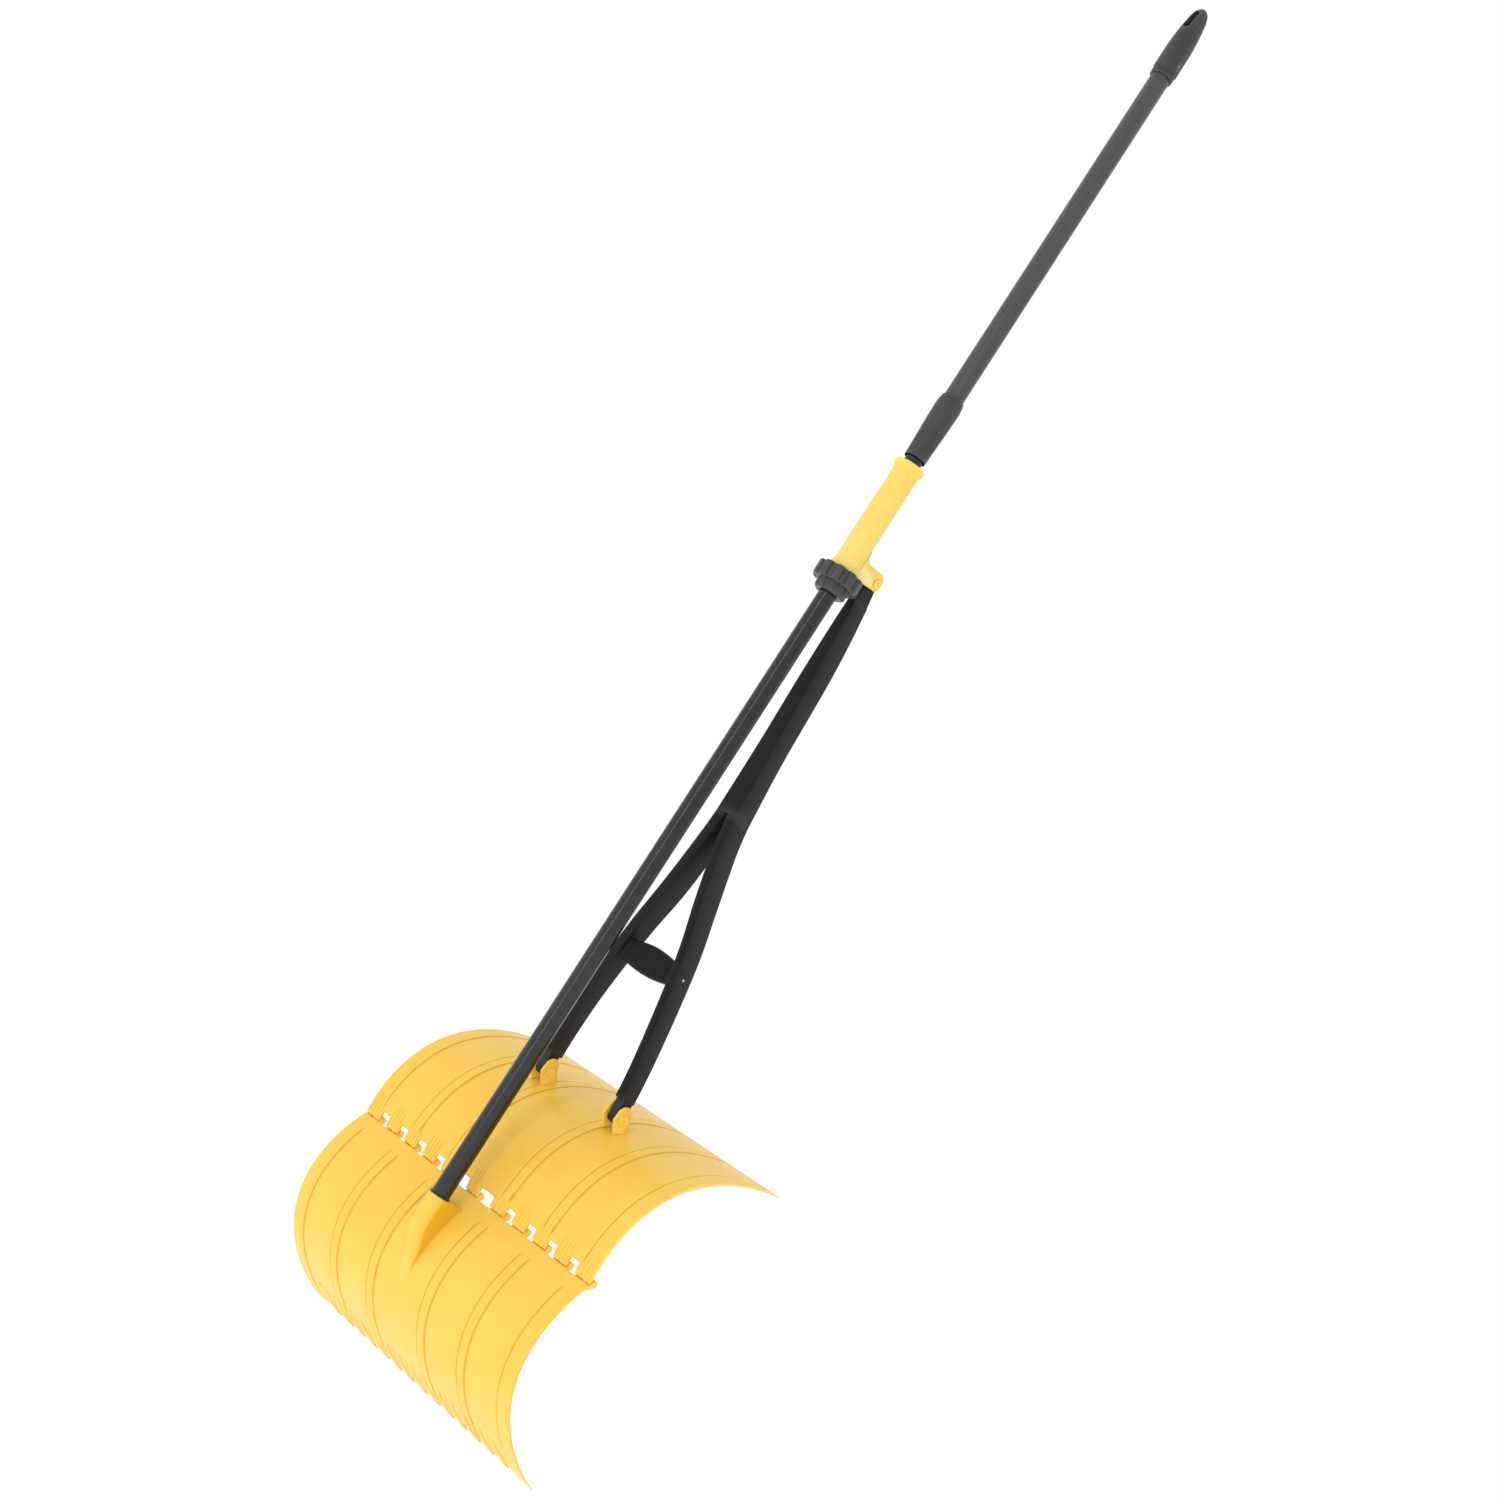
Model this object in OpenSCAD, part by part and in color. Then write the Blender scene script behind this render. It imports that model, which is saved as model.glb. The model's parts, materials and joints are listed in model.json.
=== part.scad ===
// Long-handled hinged scoop rake: two curved jaws joined by a knuckle hinge.
// The front jaw is fixed to a telescopic pole. A sliding hand grip on the pole works
// the rear jaw through a forked yoke, so pushing the grip down closes the jaws.
// Frame: the pole stands on the Z axis and its hanging hole is at the origin.
// X runs along the hinge, and +Y is the side on which the yoke lies.

/* [Jaws] */
// Width of both jaws along the hinge
jaw_w = 420; // [360:1:480]
// Thickness of the moulded sheet
sheet_t = 2.8; // [2.4:0.1:3.2]
// Thickness of the sheet at the working edge
edge_t = 1.4; // [1:0.1:2]
// Width of each raised rib band
rib_w = 13; // [8:0.5:16]
// Height of each raised rib band
rib_h = 1.4; // [0.8:0.1:2]
// Distance of the inner rib bands from the middle
rib_inner_x = 50; // [46:1:52]
// Distance of the outer rib bands from the middle
rib_outer_x = 124; // [110:1:132]
// Width of the thickened rim at each side edge
rim_w = 7; // [5:0.5:10]
// Height of the thickened rim
rim_h = 1; // [0.6:0.1:2]
// Number of teeth between the two corner teeth
tooth_count = 14; // [10:2:16]
// Distance between neighbouring teeth
tooth_pitch = 25.3; // [24:0.1:26]
// Length of the teeth
tooth_l = 13; // [8:0.5:16]

/* [Hinge] */
// Outer radius of the hinge knuckles
knuckle_r = 4.5; // [4:0.1:5]
// Radius of the short hinge pins
hinge_pin_r = 2; // [1.5:0.1:2.4]
// Width of the open window on each side of the middle knuckle group
window_wide = 24; // [20:1:26]
// Width of the other open windows
window_narrow = 15; // [12:1:18]

/* [Pole] */
// Outside diameter of the lower tube
lower_d = 22; // [21.8:0.1:22]
// Outside diameter of the upper tube
upper_d = 25; // [25:0.1:25.2]
// Wall thickness of the tubes
tube_wall = 1.2; // [0.8:0.1:1.2]
// Number of lengthwise flutes on the upper tube
flute_count = 6; // [4:1:8]
// Radius of the hanging hole
hang_r = 4.5; // [4:0.1:4.8]

/* [Grip] */
// Outside diameter of the hand grip
grip_d = 32.5; // [31:0.1:34]
// Radius over the lobes of the lock collar
collar_r = 29; // [27:0.5:29]
// Number of lobes on the lock collar
lobe_count = 10; // [8:1:12]

/* [Yoke] */
// Wall thickness of the channel section
yoke_wall = 2.6; // [2:0.1:3]
// Radius of the pins at the ends of the yoke
yoke_pin_r = 3; // [2.5:0.1:3.2]

/* [Hidden] */
$fn = 48;
fit_gap = 0.05;      // radial clearance of a pin in its bore
move_gap = 0.3;      // clearance between pieces that slide or turn
eps = 0.5;           // overshoot of cutting shapes
curve_steps = 18;

// Hinge line and pole
hinge_y = 47.5;
hinge_z = -1618;

// Side profiles of the jaws in hinge coordinates [y, z]: control points of one cubic
// curve each, along the outer face from the hinge to the working edge
front_ctrl = [[-9, -2.5], [-69, -100], [-15, -177], [92, -217]];
rear_ctrl = [[-9.5, 3], [-16, 85], [34, 163], [195, 174.5]];
front_side = 1;      // the inner face lies to the left of the front curve
rear_side = -1;      // and to the right of the rear curve

// Hinge windows and the knuckle groups between them
window_x = [22.5, 66.5, 103.5, 140.5, 177.5];
window_half = [for (i = [0:4]) (i == 0 ? window_wide : window_narrow) / 2];
side_groups = [for (i = [0:4])
    [window_x[i] + window_half[i], i == 4 ? jaw_w / 2 : window_x[i + 1] - window_half[i + 1]]];
group_spans = concat(
    [[-window_x[0] + window_half[0], window_x[0] - window_half[0]]],
    side_groups,
    [for (g = side_groups) [-g[1], -g[0]]]);
window_clear = 11.5; // the rear sheet stops this far from the hinge line at a window
lug_drop = 4;        // sets how far from its top edge a lug meets the sheet
lug_t = 4;           // thickness of a lug at the sheet
rear_lead = 4.6;     // the rear sheet reaches down this far over its knuckles
knuckle_clear = 0.6;
group_gap = 0.4;     // side clearance between neighbouring knuckles

// Pole stations, heights above the hinge line
socket_mouth = -20;
socket_floor = -52;
lower_top = 1508;
guide_l = 30;
collet_z = 970;
upper_bottom = 1002;
sleeve_bottom = 966;
sleeve_top = 1052;
cap_bottom = 1533;
cap_top = 1638;
upper_top = 1598;
lower_r = lower_d / 2;
upper_r = upper_d / 2;
slide_r = lower_r + move_gap;

// Grip stations
grip_bottom = 808;
grip_top = 956;
grip_l = grip_top - grip_bottom;
spigot_bottom = 787;
ring_top = 806.5;
ring_bottom = 787.5;
collar_bottom = 776;

// Yoke pins in hinge coordinates [y, z]
leg_pin = [53, 152];
grip_pin = [2, 824];
leg_x = 66;
ear_gap = 7.8;       // half the gap between the two ears of a jaw bracket
ear_t = 4;
// Side outline of an ear, from its pin; the first and last point lie inside the sheet
ear_outline = [[0, -18.5], [-12, -4], [-10.5, 9], [-6, 14.5], [1, 16], [7, 13], [10, 6], [20, -8]];
clevis_gap = 6.4;    // half the gap between the cheeks on the grip
cheek_t = 3.8;
clip_t = 1.2;        // thickness of the push-on clips of the pins
clip_rim = 2.6;      // how far a clip stands out round its pin
flange_r = 19.2;     // flange at the top of the grip
flange_t = 3;
base_r = 18;         // wider band at the foot of the grip
base_h = 7;
spigot_r = 14.4;     // thin sleeve of the grip inside the collar
groove_pitch = 21;   // rings round the grip
groove_count = 5;
groove_w = 1.6;
groove_depth = 0.5;
// Side outline of the cheeks, in hinge coordinates
cheek_outline = [[-35.5, 812], [-35.5, 846], [-26, 834], [3, 838], [10, 832], [11, 822],
                 [8, 816.5], [-20, 812]];
tongue_half = 6;
eye_r = 8;
fork_hollow = [195, 500];   // heights between which the channel of the legs is open
stem_hollow = [545, 770];   // and that of the stem
notch_gap = 0.4;

// Front outline of the yoke: [height, outer half width, inner half width]
fork = [[140, 72.5, 59.5], [200, 70.5, 57.5], [250, 65.5, 52.5], [300, 58, 45],
        [350, 48.5, 35.5], [400, 35.5, 22.5], [440, 26.5, 13.5], [480, 19, 6], [520, 14.5, 0]];
stem = [[500, 16.5], [600, 13], [700, 10.5], [760, 8], [796, 6], [836, 6]];
// Side outline of the yoke: [height, front, back]
yoke_side = [[170, 40, 62], [250, 31.5, 56], [350, 22.5, 51], [400, 17, 48],
             [480, 9, 39], [560, 5, 31.5], [740, -6, 22.5], [812, -10, 15]];

// ---- frames and general helpers ----

module at_hinge() translate([0, hinge_y, hinge_z]) children();

module on_pole(z) translate([0, 0, hinge_z + z]) children();

// Extrudes a [y, z] outline along X, centred on x
module along_x(length, x = 0)
    translate([x, 0, 0]) rotate([90, 0, 90]) linear_extrude(length, center = true) children();

module x_pin(r, length, x = 0)
    translate([x, 0, 0]) rotate([0, 90, 0]) cylinder(r = r, h = length, center = true);

module pipe(r_out, r_in, z0, z1) difference() {
    on_pole(z0) cylinder(r = r_out, h = z1 - z0);
    on_pole(z0 - eps) cylinder(r = r_in, h = z1 - z0 + 2 * eps);
}

// ---- jaw profile ----

function bez(c, t) = pow(1 - t, 3) * c[0] + 3 * pow(1 - t, 2) * t * c[1]
                   + 3 * (1 - t) * t * t * c[2] + pow(t, 3) * c[3];
function slope(c, t) = pow(1 - t, 2) * (c[1] - c[0]) + 2 * (1 - t) * t * (c[2] - c[1])
                     + t * t * (c[3] - c[2]);
function inward(c, t, side) = let (d = slope(c, t)) side * [-d[1], d[0]] / norm(d);
function sheet_at(t) = sheet_t - (sheet_t - edge_t) * pow(t, 5);

// Band between the outer curve raised by `lift` and the depth `sink` of the sheet
module shell(c, side, t0, t1, lift, sink) {
    ts = [for (i = [0:curve_steps]) t0 + (t1 - t0) * i / curve_steps];
    outer = [for (t = ts) bez(c, t) - lift * inward(c, t, side)];
    inner = [for (t = ts) bez(c, t) + sink * sheet_at(t) * inward(c, t, side)];
    polygon(concat(outer, [for (i = [len(ts) - 1:-1:0]) inner[i]]));
}

module jaw_sheet(c, side) {
    along_x(jaw_w) shell(c, side, 0, 1, 0, 1);
    for (x = [rib_inner_x, rib_outer_x], s = [-1, 1])
        along_x(rib_w, s * x) shell(c, side, 0.07, 0.94, rib_h, 0.5);
    for (s = [-1, 1])
        along_x(rim_w, s * (jaw_w - rim_w) / 2) shell(c, side, 0.07, 0.99, rim_h, 0.5);
}

// Clears the sheet round the hinge line at the windows
module window_cuts()
    for (i = [0:4], s = [-1, 1])
        x_pin(window_clear, 2 * window_half[i], s * window_x[i]);

// Each knuckle group has three knuckles; the middle one belongs to the rear jaw
function knuckle_w(g) = (g[1] - g[0]) / 3;
function knuckle_x(g, k) = g[0] + knuckle_w(g) * (k + 0.5);

// Lug from a knuckle to the point where the sheet starts
module lug(target, length, x)
    along_x(length, x) polygon([
        [-knuckle_r, 0], [0, -sign(target[1]) * knuckle_r / 2], [0, sign(target[1]) * knuckle_r * 0.8],
        target + [lug_t, 0], target]);

module knuckle(target, length, x) {
    x_pin(knuckle_r, length, x);
    lug(target, length, x);
}

module knuckle_bore(length, x) x_pin(hinge_pin_r + fit_gap, length + 2 * eps, x);

// ---- front jaw ----

socket_r = 13.2;
socket_foot = -122;    // below the lowest point of the fairing
socket_back = -13;     // the fairing runs back to here behind the top edge of the jaw
screw_drop = 16;       // depth of the screw below the socket mouth
screw_r = 2.2;
screw_head_r = 4.2;
screw_head_t = 2.4;
screw_l = 12;

// Wedge that falls from the socket mouth to the face of the jaw
module socket_wedge() along_x(2 * socket_r) polygon(concat(
    [[-hinge_y - socket_r, socket_mouth], [-hinge_y - socket_r, socket_mouth - 12],
     [-hinge_y - socket_r + 1.5, socket_floor]],
    [for (t = [0.5:-0.05:0.06]) bez(front_ctrl, t) + inward(front_ctrl, t, 1)],
    [[socket_back, socket_mouth]]));

module socket_boss() intersection() {
    socket_wedge();
    union() {
        translate([0, -hinge_y, socket_foot]) cylinder(r = socket_r, h = -socket_foot);
        translate([-socket_r, -hinge_y, socket_foot]) cube([2 * socket_r, hinge_y, -socket_foot]);
    }
}

gap_half = 3.5;      // half width of a gap between two teeth at its root
tip_half = 3;        // half width of a tooth at its tip

// Gaps between the teeth, cut through the working edge square to the sheet
module tooth_gaps() {
    tip = front_ctrl[3];
    run = slope(front_ctrl, 1);
    translate([0, tip[0], tip[1]]) rotate([atan2(run[1], run[0]), 0, 0])
        for (i = [0:tooth_count])
            translate([(i - tooth_count / 2) * tooth_pitch, 0, 0])
                linear_extrude(30, center = true) polygon([
                    [-gap_half, -tooth_l], [gap_half, -tooth_l], [tooth_pitch / 2 - tip_half, eps],
                    [-tooth_pitch / 2 + tip_half, eps]]);
}

module front_scoop() color("gold") at_hinge() difference() {
    union() {
        difference() {
            jaw_sheet(front_ctrl, front_side);
            tooth_gaps();
            for (g = group_spans)
                x_pin(knuckle_r + knuckle_clear + 0.6, knuckle_w(g) + 2 * group_gap, knuckle_x(g, 1));
        }
        for (g = group_spans, k = [0, 2])
            knuckle(front_ctrl[0] - [lug_drop, 2 * lug_drop], knuckle_w(g) - group_gap,
                knuckle_x(g, k));
        socket_boss();
    }
    for (g = group_spans, k = [0, 2])
        knuckle_bore(knuckle_w(g), knuckle_x(g, k));
    translate([0, -hinge_y, socket_floor]) cylinder(r = lower_r + fit_gap, h = 60);
    translate([-socket_r, -hinge_y, socket_mouth - screw_drop]) x_pin(screw_r, 2 * socket_r);
}

// ---- rear jaw ----

// One bracket: two ears that hold the pin at the end of a yoke leg
module bracket_ears(x) difference() {
    for (s = [-1, 1])
        along_x(ear_t, x + s * (ear_gap + ear_t / 2)) polygon([for (p = ear_outline) leg_pin + p]);
    translate([0, leg_pin[0], leg_pin[1]]) x_pin(yoke_pin_r + fit_gap, 40, x);
}

module rear_scoop() color("gold") at_hinge() difference() {
    union() {
        difference() {
            union() {
                jaw_sheet(rear_ctrl, rear_side);
                translate([-jaw_w / 2, rear_ctrl[0][0], rear_ctrl[0][1] - rear_lead])
                    cube([jaw_w, sheet_t, rear_lead + eps]);
            }
            window_cuts();
            for (g = group_spans, k = [0, 2])
                x_pin(knuckle_r + knuckle_clear, knuckle_w(g) + 2 * group_gap, knuckle_x(g, k));
        }
        for (g = group_spans)
            knuckle(rear_ctrl[0] + [0, 2 * lug_drop], knuckle_w(g) - group_gap, knuckle_x(g, 1));
        for (s = [-1, 1]) bracket_ears(s * leg_x);
    }
    for (g = group_spans) knuckle_bore(knuckle_w(g), knuckle_x(g, 1));
}

// ---- hinge pins ----

module hinge_pins() color("silver") at_hinge()
    for (g = group_spans)
        x_pin(hinge_pin_r, g[1] - g[0] - 1.5, (g[0] + g[1]) / 2);

// ---- pole, lower part ----

module lower_tube() color([0.12, 0.12, 0.13]) difference() {
    pipe(lower_r, lower_r - tube_wall, socket_floor, lower_top);
    on_pole(socket_mouth - screw_drop) x_pin(screw_r, 2 * lower_r + 2);
}

module tube_plug() color([0.1, 0.1, 0.1]) on_pole(socket_floor + 0.2)
    cylinder(r = lower_r - tube_wall - fit_gap, h = 8);

// Bush on the top end of the lower tube; it guides the tube inside the upper one
module guide_bush() color([0.25, 0.25, 0.27]) {
    on_pole(lower_top - guide_l) cylinder(r = lower_r - tube_wall - fit_gap, h = guide_l);
    on_pole(lower_top) cylinder(r = lower_r + 0.2, h = 6);
}

module socket_screw() color("silver") on_pole(socket_mouth - screw_drop) {
    x_pin(screw_r - fit_gap, screw_l, screw_l / 2 - socket_r - 1);
    x_pin(screw_head_r, screw_head_t, -socket_r - screw_head_t / 2);
}

// ---- grip and its lock ----

module grip_body() {
    on_pole(grip_bottom) rotate_extrude() polygon([
        [0, 0], [base_r, 0], [base_r, base_h], [grip_d / 2, base_h + 4], [grip_d / 2, grip_l - 13],
        [grip_d / 2 + 0.4, grip_l - 9], [flange_r, grip_l - flange_t], [flange_r, grip_l],
        [0, grip_l]]);
    on_pole(spigot_bottom) cylinder(r = spigot_r, h = grip_bottom - spigot_bottom + 1);
}

// Two cheeks at the back of the grip hold the pin at the top of the yoke
module grip_ear() at_hinge() difference() {
    along_x(2 * (clevis_gap + cheek_t)) polygon(cheek_outline);
    along_x(2 * clevis_gap) polygon([
        [-12, 790], [-12, 832.5], [grip_pin[0] + 20, 853], [grip_pin[0] + 20, 790]]);
}

module slide_grip() color("gold") difference() {
    union() {
        grip_body();
        grip_ear();
    }
    on_pole(spigot_bottom - eps) cylinder(r = slide_r, h = grip_top);
    for (i = [1:groove_count])
        on_pole(grip_bottom + base_h - 1 + i * groove_pitch) difference() {
            cylinder(r = base_r + eps, h = groove_w);
            translate([0, 0, -eps]) cylinder(r = grip_d / 2 - groove_depth, h = groove_w + 2 * eps);
        }
    at_hinge() translate([0, grip_pin[0], grip_pin[1]]) x_pin(yoke_pin_r + fit_gap, 40);
}

clamp_bottom = 779.4;
clamp_h = 7;
split_w = 2;         // width of the slots in the clamping pieces

// Split tapered ring that the collar squeezes onto the pole
module clamp_ring() color([0.3, 0.3, 0.32]) difference() {
    on_pole(clamp_bottom) cylinder(r1 = spigot_r - 0.8, r2 = spigot_r, h = clamp_h);
    on_pole(clamp_bottom - eps) cylinder(r = lower_r + fit_gap, h = clamp_h + 2 * eps);
    on_pole(clamp_bottom - eps) translate([0, -split_w / 2, 0]) cube([20, split_w, clamp_h + 2 * eps]);
}

collar_low_r = 20;  // lower, narrower ring of the collar
collar_floor = 3;     // thickness of its floor
lobe_depth = 2.4;     // depth of the hollows between the lobes
low_lobe_depth = 1.8;
lobe_round = 2.2;     // radius of a hollow, as a multiple of its depth

module collar_outline(r, depth, count) difference() {
    circle(r = r);
    for (i = [0:count - 1])
        rotate(i * 360 / count) translate([r + depth, 0]) circle(r = lobe_round * depth);
}

module lock_collar() color([0.1, 0.1, 0.11]) difference() {
    union() {
        on_pole(ring_bottom) linear_extrude(ring_top - ring_bottom)
            collar_outline(collar_r, lobe_depth, lobe_count);
        on_pole(collar_bottom) linear_extrude(ring_bottom - collar_bottom)
            collar_outline(collar_low_r, low_lobe_depth, lobe_count);
    }
    on_pole(collar_bottom + collar_floor) cylinder(r = spigot_r + move_gap, h = ring_top - collar_bottom);
    on_pole(collar_bottom - eps) cylinder(r = slide_r, h = 2 * collar_floor);
}

module grip_pin() color("gold") at_hinge() translate([0, grip_pin[0], grip_pin[1]])
    x_pin(yoke_pin_r, 2 * (clevis_gap + cheek_t) + 1);

module pin_clip(x, s) difference() {
    x_pin(yoke_pin_r + clip_rim, clip_t, x + s * clip_t / 2);
    x_pin(yoke_pin_r - clip_t / 2, 3 * clip_t, x);
}

module grip_pin_clips() color("gold") at_hinge() translate([0, grip_pin[0], grip_pin[1]])
    for (s = [-1, 1]) pin_clip(s * (clevis_gap + cheek_t + 0.5), s);

// ---- yoke ----

// Outline of the fork and stem seen from the front, each side moved in by `wall`
module fork_outline(wall) for (s = [-1, 1])
    polygon(concat(
        [for (p = fork) [s * (p[1] - wall), p[0]]],
        [for (i = [len(fork) - 1:-1:0]) [s * (fork[i][2] + wall), fork[i][0]]]));

module stem_outline(wall) polygon(concat(
    [for (p = stem) [p[1] - wall, p[0]]],
    [for (i = [len(stem) - 1:-1:0]) [wall - stem[i][1], stem[i][0]]]));

module along_y(length) translate([0, length / 2, 0]) rotate([90, 0, 0]) linear_extrude(length) children();

module yoke_side_outline(wall) polygon(concat(
    [for (p = yoke_side) [p[1] + wall, p[0]]],
    [for (i = [len(yoke_side) - 1:-1:0]) [yoke_side[i][2] + 3 * wall, yoke_side[i][0]]]));

// Eye at the foot of a leg; it stands between the two ears of a jaw bracket
module leg_eye(x) along_x(2 * tongue_half, x) {
    translate(leg_pin) circle(r = eye_r);
    polygon([leg_pin - [eye_r, 0], leg_pin + [eye_r, 0], [59, 190], [40, 190]]);
}

// Eye at the top of the stem; it stands between the cheeks on the grip
module top_eye() along_x(2 * tongue_half) {
    translate(grip_pin) circle(r = eye_r);
    polygon([grip_pin - [eye_r, 0], grip_pin + [eye_r, 0], [17, 795], [-8, 795]]);
}

// The top eye is open towards the pole and downwards, so it can leave the pin
module top_notch() along_x(40) {
    translate(grip_pin) circle(r = yoke_pin_r + notch_gap);
    polygon([
        grip_pin + [0, yoke_pin_r + notch_gap], grip_pin + [-30, yoke_pin_r + notch_gap + 2],
        grip_pin + [-30, -25], grip_pin + [2, -yoke_pin_r - notch_gap]]);
}

// Channel section, open at the back
module yoke_fork(wall) intersection() {
    along_y(200) fork_outline(wall);
    along_x(200) yoke_side_outline(wall);
}

module yoke_stem(wall) intersection() {
    along_y(200) stem_outline(wall);
    along_x(200) yoke_side_outline(wall);
}

module yoke() color([0.13, 0.13, 0.14]) at_hinge() difference() {
    union() {
        yoke_fork(0);
        yoke_stem(0);
        for (s = [-1, 1]) leg_eye(s * leg_x);
        top_eye();
    }
    intersection() {
        yoke_fork(yoke_wall);
        translate([-100, -100, fork_hollow[0]]) cube([200, 300, fork_hollow[1] - fork_hollow[0]]);
    }
    intersection() {
        yoke_stem(yoke_wall);
        translate([-100, -100, stem_hollow[0]]) cube([200, 300, stem_hollow[1] - stem_hollow[0]]);
    }
    translate([0, leg_pin[0], leg_pin[1]]) x_pin(yoke_pin_r + fit_gap, 200);
    top_notch();
    brace_holes();
}

// ---- cross brace between the legs ----

brace_y = 38;
brace_z = 318;
brace_half = 41.3;     // half its length where it meets the legs, at its middle height
brace_t = 12;
brace_curve = 150;   // radius of its upper and lower edges
brace_mid_half = 17.5;
brace_taper = 3.7;     // the ends lean with the legs
brace_hole_r = 1.6;

module brace_holes() translate([0, brace_y, brace_z])
    for (s = [-1, 1]) x_pin(brace_hole_r, 30, s * (brace_half + 8));

module brace_outline() intersection() {
    polygon([
        [-brace_half - brace_taper, -20], [brace_half + brace_taper, -20],
        [brace_half - brace_taper, 20], [-brace_half + brace_taper, 20]]);
    translate([0, brace_mid_half - brace_curve]) circle(r = brace_curve, $fn = 96);
    translate([0, brace_curve - brace_mid_half]) circle(r = brace_curve, $fn = 96);
}

module cross_brace() color([0.13, 0.13, 0.14]) at_hinge() translate([0, brace_y, brace_z])
    difference() {
        rotate([90, 0, 0]) linear_extrude(brace_t, center = true) brace_outline();
        x_pin(brace_hole_r, 200);
    }

module brace_screws() color("silver") at_hinge() translate([0, brace_y, brace_z])
    for (s = [-1, 1]) x_pin(brace_hole_r - fit_gap, 20, s * (brace_half + 4));

module leg_pins() color("gold") at_hinge() translate([0, leg_pin[0], leg_pin[1]])
    for (s = [-1, 1]) x_pin(yoke_pin_r, 2 * (ear_gap + ear_t) + 1, s * leg_x);

module leg_pin_clips() color("gold") at_hinge() translate([0, leg_pin[0], leg_pin[1]])
    for (s = [-1, 1], e = [-1, 1])
        pin_clip(s * leg_x + e * (ear_gap + ear_t + 0.5), e);

// ---- pole, upper part ----

flute_r = 3.1;       // radius of the cutter of a flute
flute_out = 2.6;     // distance of its centre outside the tube
cap_pin_z = cap_bottom + 20;
cap_pin_r = 1.5;
cap_pin_l = 4;
cap_r = 15.7;        // radius of the body of the end cap
cap_lip_r = 14.7;    // and of the lip at its foot
collet_r = 12.8;     // radius of the fingers of the collet
collet_sleeve_r = 13.6;
collet_sleeve_l = 34;

module upper_tube() color([0.3, 0.3, 0.31]) difference() {
    pipe(upper_r, slide_r, upper_bottom, upper_top);
    for (i = [0:flute_count - 1]) rotate(i * 360 / flute_count + 15)
        translate([upper_r + flute_out, 0, hinge_z + upper_bottom - eps])
            cylinder(r = flute_r, h = upper_top - upper_bottom + 2 * eps);
    on_pole(cap_pin_z) x_pin(cap_pin_r + fit_gap, 60);
}

// Split fingers that grip the lower tube, pressed on the end of the upper one
module collet() color([0.25, 0.25, 0.26]) difference() {
    union() {
        on_pole(collet_z) cylinder(r1 = collet_r - 0.6, r2 = collet_r, h = upper_bottom - collet_z);
        on_pole(upper_bottom) cylinder(r = collet_sleeve_r, h = collet_sleeve_l);
    }
    on_pole(collet_z - eps) cylinder(r = lower_r + fit_gap, h = 40);
    on_pole(upper_bottom) cylinder(r = upper_r + fit_gap, h = 40);
    for (a = [0, 90]) rotate(a)
        on_pole(collet_z - eps) translate([-20, -split_w / 2, 0]) cube([40, split_w, 22]);
}

module lock_sleeve() color([0.22, 0.22, 0.23]) on_pole(sleeve_bottom) rotate_extrude() polygon([
    [13.1, 0], [13.5, 0], [14.4, 26], [15.6, 58], [15.75, 76], [14.2, sleeve_top - sleeve_bottom],
    [13.0, sleeve_top - sleeve_bottom], [13.0, 72.5], [13.95, 71.5], [13.95, 35.5], [13.1, 35]]);

// ---- end cap ----

module cap_profile() polygon([
    [0, 0], [cap_lip_r - 0.3, 0], [cap_lip_r, 2], [cap_lip_r, 8], [cap_r, 11], [cap_r - 0.1, 45],
    [14.6, 62], [13.8, 71],
    [13.2, 72], [13.2, 73.5], [13.4, 74.5], [11.2, 90], [8.6, 99], [5, 103.6], [0, 105]]);

module end_cap() color([0.28, 0.28, 0.3]) difference() {
    on_pole(cap_bottom) rotate_extrude() cap_profile();
    on_pole(cap_bottom - eps) cylinder(r = upper_r + fit_gap, h = upper_top - cap_bottom + eps);
    rotate([90, 0, 0]) cylinder(r = hang_r, h = 60, center = true);
    for (s = [-1, 1]) translate([0, s * 12, -2]) rotate([90, 0, 0])
        linear_extrude(15, center = true) hull() {
            translate([0, 9]) circle(r = hang_r);
            translate([0, -10]) circle(r = hang_r);
        }
    on_pole(cap_pin_z) x_pin(cap_pin_r + fit_gap, 60);
}

module cap_pin() color("silver") on_pole(cap_pin_z)
    for (s = [-1, 1]) x_pin(cap_pin_r, cap_pin_l, s * 13.2);

front_scoop();
rear_scoop();
hinge_pins();
lower_tube();
tube_plug();
guide_bush();
socket_screw();
slide_grip();
clamp_ring();
lock_collar();
grip_pin();
grip_pin_clips();
yoke();
cross_brace();
brace_screws();
leg_pins();
leg_pin_clips();
upper_tube();
collet();
lock_sleeve();
end_cap();
cap_pin();
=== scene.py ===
"""Looks of a long-handled hinged scoop rake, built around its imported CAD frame.

Shapes are worked out in millimetres in the hinge frame: the origin is the middle of the
hinge between the jaws, X runs along the hinge, Y away from the pole and Z up the pole.
"""
import json
import math

import bpy
import numpy as np
from mathutils import Matrix, Vector


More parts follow.
